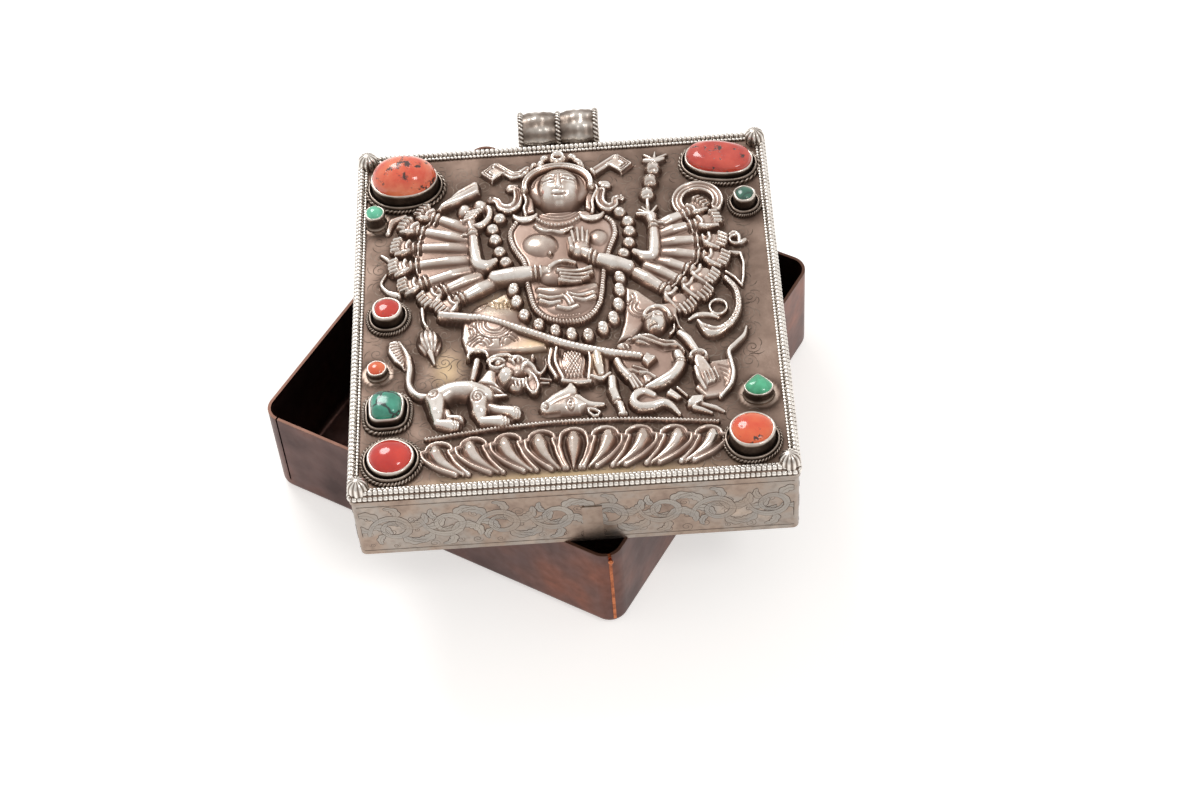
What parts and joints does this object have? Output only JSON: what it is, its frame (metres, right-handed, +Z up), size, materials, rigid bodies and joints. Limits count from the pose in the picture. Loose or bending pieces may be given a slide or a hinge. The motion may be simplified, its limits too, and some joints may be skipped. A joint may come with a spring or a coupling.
{
  "type": "ghau amulet box",
  "caption": "Oblong amulet box: a silver cover with a raised figure, coral and turquoise settings and a suspension tube, laid askew on its open copper tray.",
  "frame": {"origin": "centre of the tray's underside, on the surface that the box stands on", "axes": "+Z up, +X along the cover's width, +Y along the cover's length towards the suspension tube"},
  "size_m": [0.1454, 0.1487, 0.0638],
  "materials": {
    "copper_sheet": "hammered copper sheet, dark brown patina",
    "copper_solder": "fresh copper solder, satin",
    "silver_wall": "chased silver sheet, grey tarnish",
    "silver_plate": "chased silver ground, brown patina",
    "silver_relief": "raised silver, rubbed bright on the heights",
    "silver_wire": "beaded and plain silver wire, tarnished in the gaps",
    "coral": "polished coral with dark pits",
    "turquoise": "polished turquoise with dark veins"
  },
  "bodies": {
    "tray": {"tray_pan": "copper_sheet", "tray_corner_solder": "copper_solder"},
    "cover": {"back_left_coral_bezel": "silver_wire", "back_left_coral_collar": "silver_wire", "back_left_coral_stone": "coral", "back_left_turquoise_bezel": "silver_wire", "back_left_turquoise_stone": "turquoise", "back_right_coral_bezel": "silver_wire", "back_right_coral_collar": "silver_wire", "back_right_coral_stone": "coral", "back_right_turquoise_bezel": "silver_wire", "back_right_turquoise_collar": "silver_wire", "back_right_turquoise_stone": "turquoise", "border_wire_inner": "silver_wire", "border_wire_outer": "silver_wire", "border_wire_top": "silver_wire", "corner_bosses": "silver_wire", "cover_wall": "silver_wall", "draped_skin": "silver_relief", "figure_arms_left": "silver_relief", "figure_arms_right": "silver_relief", "figure_crown": "silver_relief", "figure_head": "silver_relief", "figure_skirt": "silver_relief", "figure_torso": "silver_relief", "front_left_coral_bezel": "silver_wire", "front_left_coral_collar": "silver_wire", "front_left_coral_stone": "coral", "front_plate": "silver_plate", "front_right_coral_bezel": "silver_wire", "front_right_coral_collar": "silver_wire", "front_right_coral_stone": "coral", "goat_head": "silver_relief", "head_garland": "silver_relief", "held_attributes": "silver_relief", "kneeling_figure": "silver_relief", "lance": "silver_relief", "left_coral_bezel": "silver_wire", "left_coral_collar": "silver_wire", "left_coral_stone": "coral", "left_small_coral_bezel": "silver_wire", "left_small_coral_stone": "coral", "left_turquoise_bezel": "silver_wire", "left_turquoise_collar": "silver_wire", "left_turquoise_stone": "turquoise", "lion": "silver_relief", "lotus_petals": "silver_relief", "lotus_wire": "silver_relief", "necklace_rope": "silver_relief", "right_turquoise_bezel": "silver_wire", "right_turquoise_stone": "turquoise", "scarf_ends": "silver_relief", "suspension_tube": "silver_wire", "tube_ring_left": "silver_wire", "tube_ring_middle": "silver_wire", "tube_ring_right": "silver_wire", "tube_solder": "silver_wire", "wall_lap_seam": "silver_wall", "wall_ledge": "silver_wall"}
  },
  "joints": [
    {"name": "cover_lift", "type": "slide", "parent": "tray", "child": "cover", "axis": [0, 0, 1], "range_m": [0, 0.06]}
  ]
}
